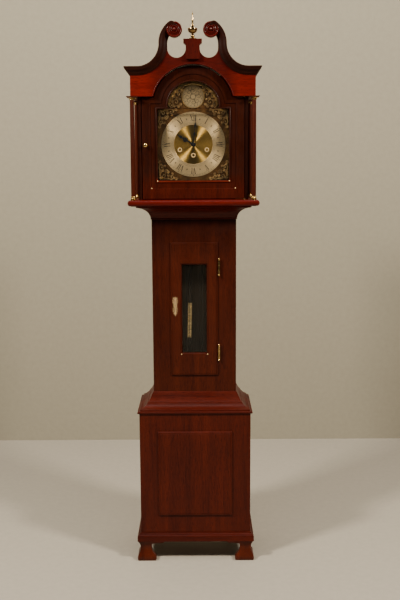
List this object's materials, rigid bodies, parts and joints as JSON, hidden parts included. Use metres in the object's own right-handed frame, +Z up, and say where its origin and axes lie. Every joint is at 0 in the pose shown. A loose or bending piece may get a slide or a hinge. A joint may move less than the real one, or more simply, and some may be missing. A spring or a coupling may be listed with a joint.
{
  "type": "grandfather clock",
  "caption": "Tall longcase clock with a break-arch hood on columns, swan-neck pediment, glazed trunk door, panelled base on ogee bracket feet, and a weight-driven pendulum movement.",
  "frame": {"origin": "on the floor, under the middle of the bounding box", "axes": "+Z up, -Y out of the dial towards the viewer, +X to the viewer's right"},
  "size_m": [0.505, 0.275, 2.115],
  "materials": {
    "case_wood": "gloss lacquer over red mahogany stain",
    "hood_wood": "gloss lacquer over bright red mahogany stain",
    "inner_wood": "plain unpolished boards",
    "rod_wood": "dark stained, satin",
    "brass": "polished and lacquered",
    "silvered": "silvered brass, engraved and waxed",
    "blued_steel": "blackened steel",
    "steel": "bright steel",
    "glass": "clear sheet"
  },
  "bodies": {
    "case": {"bracket_feet": "case_wood", "case_mouldings": "case_wood", "base_sides": "case_wood", "base_front_frame": "case_wood", "base_front_panel": "case_wood", "base_floor_and_blocks": "inner_wood", "back_board": "inner_wood", "trunk_front_frame": "case_wood", "trunk_sides": "case_wood", "trunk_hinge_leaves": "brass", "seat_board": "inner_wood", "movement_plates": "brass", "plate_pillars": "brass", "dial_plate": "brass", "silvered_ring_and_boss": "silvered", "dial_brassware": "brass"},
    "hood": {"hood_base_moulding": "case_wood", "hood_sides": "case_wood", "hood_tympanum": "hood_wood", "hood_frieze_sides": "hood_wood", "cornice_mouldings": "hood_wood", "hood_rosettes": "hood_wood", "finial_plinth": "hood_wood", "finial": "brass", "hood_columns": "case_wood", "column_brasses": "brass", "hood_roof": "inner_wood", "dial_mask": "inner_wood"},
    "hood_door": {"hood_door_frame": "case_wood", "hood_door_glass": "glass", "hood_door_knob": "brass", "hood_door_pivots": "brass"},
    "trunk_door": {"trunk_door_frame": "case_wood", "trunk_door_glass": "glass", "trunk_escutcheon": "brass", "trunk_door_lock": "steel", "trunk_door_hinge_leaves": "brass"},
    "lock_bolt": {"trunk_lock_bolt": "steel"},
    "minute_arbor": {"minute_hand": "blued_steel"},
    "hour_pipe": {"hour_hand": "blued_steel"},
    "minute_wheel": {"minute_wheel": "brass"},
    "escape_wheel": {"escape_wheel": "brass"},
    "anchor": {"escape_anchor": "steel"},
    "pendulum": {"pendulum_rod": "rod_wood", "pendulum_sleeve": "brass", "pendulum_bob": "brass", "pendulum_rating_nut": "brass"},
    "weight_left": {"weight_left": "brass", "weight_cable_left": "steel"},
    "pulley_left": {"weight_pulley_left": "brass"},
    "barrel_left": {"winding_barrel_left": "brass"},
    "weight_centre": {"weight_centre": "brass", "weight_cable_centre": "steel"},
    "pulley_centre": {"weight_pulley_centre": "brass"},
    "barrel_centre": {"winding_barrel_centre": "brass"},
    "weight_right": {"weight_right": "brass", "weight_cable_right": "steel"},
    "pulley_right": {"weight_pulley_right": "brass"},
    "barrel_right": {"winding_barrel_right": "brass"}
  },
  "joints": [
    {"name": "hood_slide", "type": "slide", "parent": "case", "child": "hood", "axis": [0, -1, 0], "range_m": [0, 0.27]},
    {"name": "hood_door_swing", "type": "hinge", "parent": "hood", "child": "hood_door", "pos_m": [0.1925, -0.1025, 1.62], "axis": [0, 0, 1], "range_deg": [0, 105]},
    {"name": "trunk_door_swing", "type": "hinge", "parent": "case", "child": "trunk_door", "pos_m": [0.096, -0.066, 1.005], "axis": [0, 0, 1], "range_deg": [0, 100]},
    {"name": "lock_bolt_throw", "type": "slide", "parent": "trunk_door", "child": "lock_bolt", "axis": [-1, 0, 0], "range_m": [0, 0.007]},
    {"name": "minute_turn", "type": "hinge", "parent": "case", "child": "minute_arbor", "pos_m": [0, -0.05, 1.64], "axis": [0, 1, 0], "continuous": true},
    {"name": "hour_turn", "type": "hinge", "parent": "case", "child": "hour_pipe", "pos_m": [0, -0.05, 1.64], "axis": [0, 1, 0], "continuous": true},
    {"name": "minute_wheel_turn", "type": "hinge", "parent": "case", "child": "minute_wheel", "pos_m": [0.024, -0.04, 1.64], "axis": [0, 1, 0], "continuous": true},
    {"name": "escape_turn", "type": "hinge", "parent": "case", "child": "escape_wheel", "pos_m": [0, -0.01, 1.697], "axis": [0, 1, 0], "continuous": true},
    {"name": "pendulum_swing", "type": "hinge", "parent": "case", "child": "pendulum", "pos_m": [0, 0.058, 1.735], "axis": [0, 1, 0], "range_deg": [-4.45, 1.55]},
    {"name": "anchor_swing", "type": "hinge", "parent": "case", "child": "anchor", "pos_m": [0, 0, 1.735], "axis": [0, 1, 0], "range_deg": [-4.45, 1.55]},
    {"name": "weight_left_run", "type": "slide", "parent": "case", "child": "weight_left", "axis": [0, 0, 1], "range_m": [0, 1], "deforming": ["weight_cable_left"]},
    {"name": "pulley_left_turn", "type": "hinge", "parent": "weight_left", "child": "pulley_left", "pos_m": [-0.051, 0.001, 0.4], "axis": [0, 1, 0], "range_deg": [0, 2870]},
    {"name": "barrel_left_turn", "type": "hinge", "parent": "case", "child": "barrel_left", "pos_m": [-0.051, 0.001, 1.62], "axis": [0, 1, 0], "range_deg": [0, 5740]},
    {"name": "weight_centre_run", "type": "slide", "parent": "case", "child": "weight_centre", "axis": [0, 0, 1], "range_m": [0, 1], "deforming": ["weight_cable_centre"]},
    {"name": "pulley_centre_turn", "type": "hinge", "parent": "weight_centre", "child": "pulley_centre", "pos_m": [0, 0.001, 0.4], "axis": [0, 1, 0], "range_deg": [0, 2870]},
    {"name": "barrel_centre_turn", "type": "hinge", "parent": "case", "child": "barrel_centre", "pos_m": [0, 0.001, 1.5995], "axis": [0, 1, 0], "range_deg": [0, 5740]},
    {"name": "weight_right_run", "type": "slide", "parent": "case", "child": "weight_right", "axis": [0, 0, 1], "range_m": [0, 1], "deforming": ["weight_cable_right"]},
    {"name": "pulley_right_turn", "type": "hinge", "parent": "weight_right", "child": "pulley_right", "pos_m": [0.051, 0.001, 0.4], "axis": [0, 1, 0], "range_deg": [0, 2870]},
    {"name": "barrel_right_turn", "type": "hinge", "parent": "case", "child": "barrel_right", "pos_m": [0.051, 0.001, 1.62], "axis": [0, 1, 0], "range_deg": [0, 5740]}
  ],
  "couplings": [
    {"joint": "hour_turn", "follows": "minute_turn", "ratio": 0.083333},
    {"joint": "minute_wheel_turn", "follows": "minute_turn", "ratio": -1},
    {"joint": "anchor_swing", "follows": "pendulum_swing", "ratio": 1},
    {"joint": "pulley_left_turn", "follows": "weight_left_run", "rad_per_m": 50},
    {"joint": "barrel_left_turn", "follows": "weight_left_run", "rad_per_m": 100},
    {"joint": "pulley_centre_turn", "follows": "weight_centre_run", "rad_per_m": 50},
    {"joint": "barrel_centre_turn", "follows": "weight_centre_run", "rad_per_m": 100},
    {"joint": "pulley_right_turn", "follows": "weight_right_run", "rad_per_m": 50},
    {"joint": "barrel_right_turn", "follows": "weight_right_run", "rad_per_m": 100}
  ]
}
